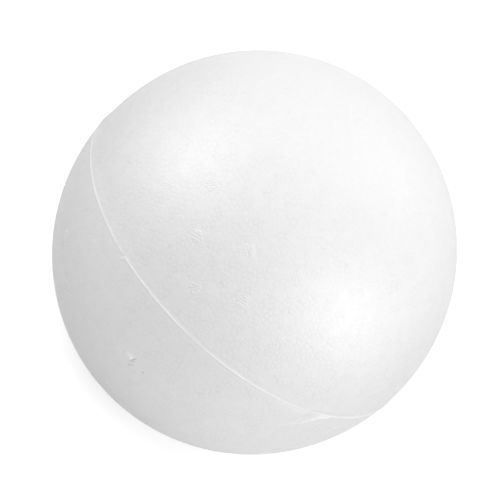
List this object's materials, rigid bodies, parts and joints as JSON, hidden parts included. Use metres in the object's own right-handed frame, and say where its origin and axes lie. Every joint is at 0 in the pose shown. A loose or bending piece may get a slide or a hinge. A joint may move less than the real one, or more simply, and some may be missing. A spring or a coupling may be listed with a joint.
{
  "type": "polystyrene ball",
  "caption": "Solid moulded foam ball for craft work, with a thin parting flash round its middle and a low fill nub below it.",
  "frame": {"origin": "middle of the ball, in the parting plane of its mould", "axes": "+Z along the axis on which the mould opened, towards the upper half; the lower half, with the fill nub, is on -Z and the nub faces -Y"},
  "size_m": [0.2011, 0.2012, 0.2043],
  "materials": {
    "foam": "satin moulded bead foam"
  },
  "bodies": {
    "root": {"ball": "foam"}
  },
  "joints": []
}
